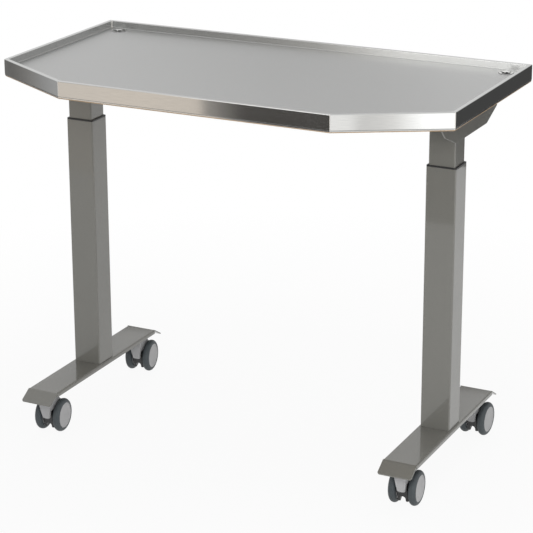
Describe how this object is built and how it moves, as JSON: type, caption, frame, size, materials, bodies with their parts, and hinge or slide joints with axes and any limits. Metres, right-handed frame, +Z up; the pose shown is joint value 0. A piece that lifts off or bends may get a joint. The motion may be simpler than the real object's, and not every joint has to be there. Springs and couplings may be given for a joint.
{
  "type": "mobile instrument table",
  "caption": "Mobile instrument table: stainless tray with cut front corners and corner drains on telescopic columns, folded feet and twin-wheel casters.",
  "frame": {"origin": "on the floor, under the middle of the whole table's width and depth", "axes": "+X to the right along the table's width, +Y from the cut-off front edge to the back, +Z up"},
  "size_m": [1.1, 0.6041, 0.9],
  "materials": {
    "stainless": "satin brushed",
    "polished_steel": "polished",
    "core_board": "raw board",
    "grey_paint": "semi-gloss powder coat",
    "black_paint": "satin",
    "cast_aluminium": "as cast",
    "zinc_steel": "zinc plated",
    "black_plastic": "matte",
    "grey_plastic": "fine grained",
    "tyre_rubber": "matte"
  },
  "bodies": {
    "left_leg": {"left_outer_tube": "grey_paint", "left_collar": "black_plastic", "left_nut_tube": "zinc_steel", "left_foot": "grey_paint", "left_caster_stems": "zinc_steel"},
    "table_top": {"tray_top": "stainless", "core_board": "core_board", "left_drain": "polished_steel", "right_drain": "polished_steel", "drain_nuts": "black_plastic", "left_top_bracket": "grey_paint", "right_top_bracket": "grey_paint", "bracket_screws": "zinc_steel", "cross_rails": "grey_paint", "left_inner_tube": "grey_paint", "right_inner_tube": "grey_paint", "inner_tube_glides": "black_plastic", "left_gearbox": "cast_aluminium", "right_gearbox": "cast_aluminium", "left_motor": "black_paint", "right_motor": "black_paint", "control_box": "black_plastic", "switch_housing": "black_plastic"},
    "right_leg": {"right_outer_tube": "grey_paint", "right_collar": "black_plastic", "right_nut_tube": "zinc_steel", "right_foot": "grey_paint", "right_caster_stems": "zinc_steel"},
    "left_spindle": {"left_spindle": "zinc_steel"},
    "right_spindle": {"right_spindle": "zinc_steel"},
    "up_button": {"up_button": "grey_plastic"},
    "down_button": {"down_button": "grey_plastic"},
    "front_left_caster": {"front_left_caster_cover": "grey_plastic", "front_left_caster_core": "black_plastic", "front_left_caster_axle": "zinc_steel"},
    "front_left_caster_left_wheel": {"front_left_caster_left_hub": "grey_plastic", "front_left_caster_left_tyre": "tyre_rubber"},
    "front_left_caster_right_wheel": {"front_left_caster_right_hub": "grey_plastic", "front_left_caster_right_tyre": "tyre_rubber"},
    "front_right_caster": {"front_right_caster_cover": "grey_plastic", "front_right_caster_core": "black_plastic", "front_right_caster_axle": "zinc_steel"},
    "front_right_caster_left_wheel": {"front_right_caster_left_hub": "grey_plastic", "front_right_caster_left_tyre": "tyre_rubber"},
    "front_right_caster_right_wheel": {"front_right_caster_right_hub": "grey_plastic", "front_right_caster_right_tyre": "tyre_rubber"},
    "rear_left_caster": {"rear_left_caster_cover": "grey_plastic", "rear_left_caster_core": "black_plastic", "rear_left_caster_axle": "zinc_steel"},
    "rear_left_caster_left_wheel": {"rear_left_caster_left_hub": "grey_plastic", "rear_left_caster_left_tyre": "tyre_rubber"},
    "rear_left_caster_right_wheel": {"rear_left_caster_right_hub": "grey_plastic", "rear_left_caster_right_tyre": "tyre_rubber"},
    "rear_right_caster": {"rear_right_caster_cover": "grey_plastic", "rear_right_caster_core": "black_plastic", "rear_right_caster_axle": "zinc_steel"},
    "rear_right_caster_left_wheel": {"rear_right_caster_left_hub": "grey_plastic", "rear_right_caster_left_tyre": "tyre_rubber"},
    "rear_right_caster_right_wheel": {"rear_right_caster_right_hub": "grey_plastic", "rear_right_caster_right_tyre": "tyre_rubber"}
  },
  "joints": [
    {"name": "lift", "type": "slide", "parent": "left_leg", "child": "table_top", "axis": [0, 0, 1], "range_m": [-0.05, 0.35]},
    {"name": "right_lift", "type": "slide", "parent": "table_top", "child": "right_leg", "axis": [0, 0, -1], "range_m": [-0.05, 0.35]},
    {"name": "left_spindle_turn", "type": "hinge", "parent": "table_top", "child": "left_spindle", "pos_m": [-0.4565, 0.02192, 0.5], "axis": [0, 0, 1], "range_deg": [-1125, 7875]},
    {"name": "right_spindle_turn", "type": "hinge", "parent": "table_top", "child": "right_spindle", "pos_m": [0.4565, 0.02192, 0.5], "axis": [0, 0, 1], "range_deg": [-1125, 7875]},
    {"name": "up_button_press", "type": "slide", "parent": "table_top", "child": "up_button", "axis": [0, -1, 0], "range_m": [0, 0.0015], "stiffness_N_per_m": 400, "springref_m": -0.0005},
    {"name": "down_button_press", "type": "slide", "parent": "table_top", "child": "down_button", "axis": [0, -1, 0], "range_m": [0, 0.0015], "stiffness_N_per_m": 400, "springref_m": -0.0005},
    {"name": "front_left_swivel", "type": "hinge", "parent": "left_leg", "child": "front_left_caster", "pos_m": [-0.4565, -0.19083, 0.08], "axis": [0, 0, 1], "continuous": true},
    {"name": "front_left_left_wheel_roll", "type": "hinge", "parent": "front_left_caster", "child": "front_left_caster_left_wheel", "pos_m": [-0.48194, -0.16828, 0.04], "axis": [0.9957, 0.0924, 0], "continuous": true},
    {"name": "front_left_right_wheel_roll", "type": "hinge", "parent": "front_left_caster", "child": "front_left_caster_right_wheel", "pos_m": [-0.43564, -0.16399, 0.04], "axis": [0.9957, 0.0924, 0], "continuous": true},
    {"name": "front_right_swivel", "type": "hinge", "parent": "right_leg", "child": "front_right_caster", "pos_m": [0.4565, -0.19083, 0.08], "axis": [0, 0, 1], "continuous": true},
    {"name": "front_right_left_wheel_roll", "type": "hinge", "parent": "front_right_caster", "child": "front_right_caster_left_wheel", "pos_m": [0.43211, -0.16715, 0.04], "axis": [0.9989, 0.0471, 0], "continuous": true},
    {"name": "front_right_right_wheel_roll", "type": "hinge", "parent": "front_right_caster", "child": "front_right_caster_right_wheel", "pos_m": [0.47856, -0.16496, 0.04], "axis": [0.9989, 0.0471, 0], "continuous": true},
    {"name": "rear_left_swivel", "type": "hinge", "parent": "left_leg", "child": "rear_left_caster", "pos_m": [-0.4565, 0.23467, 0.08], "axis": [0, 0, 1], "continuous": true},
    {"name": "rear_left_left_wheel_roll", "type": "hinge", "parent": "rear_left_caster", "child": "rear_left_caster_left_wheel", "pos_m": [-0.48286, 0.25613, 0.04], "axis": [0.991, 0.134, 0], "continuous": true},
    {"name": "rear_left_right_wheel_roll", "type": "hinge", "parent": "rear_left_caster", "child": "rear_left_caster_right_wheel", "pos_m": [-0.43678, 0.26236, 0.04], "axis": [0.991, 0.134, 0], "continuous": true},
    {"name": "rear_right_swivel", "type": "hinge", "parent": "right_leg", "child": "rear_right_caster", "pos_m": [0.4565, 0.23467, 0.08], "axis": [0, 0, 1], "continuous": true},
    {"name": "rear_right_left_wheel_roll", "type": "hinge", "parent": "rear_right_caster", "child": "rear_right_caster_left_wheel", "pos_m": [0.43395, 0.26011, 0.04], "axis": [0.9996, -0.0279, 0], "continuous": true},
    {"name": "rear_right_right_wheel_roll", "type": "hinge", "parent": "rear_right_caster", "child": "rear_right_caster_right_wheel", "pos_m": [0.48043, 0.25881, 0.04], "axis": [0.9996, -0.0279, 0], "continuous": true}
  ],
  "couplings": [
    {"joint": "right_lift", "follows": "lift", "ratio": 1},
    {"joint": "left_spindle_turn", "follows": "lift", "rad_per_m": 392.7},
    {"joint": "right_spindle_turn", "follows": "lift", "rad_per_m": 392.7}
  ]
}
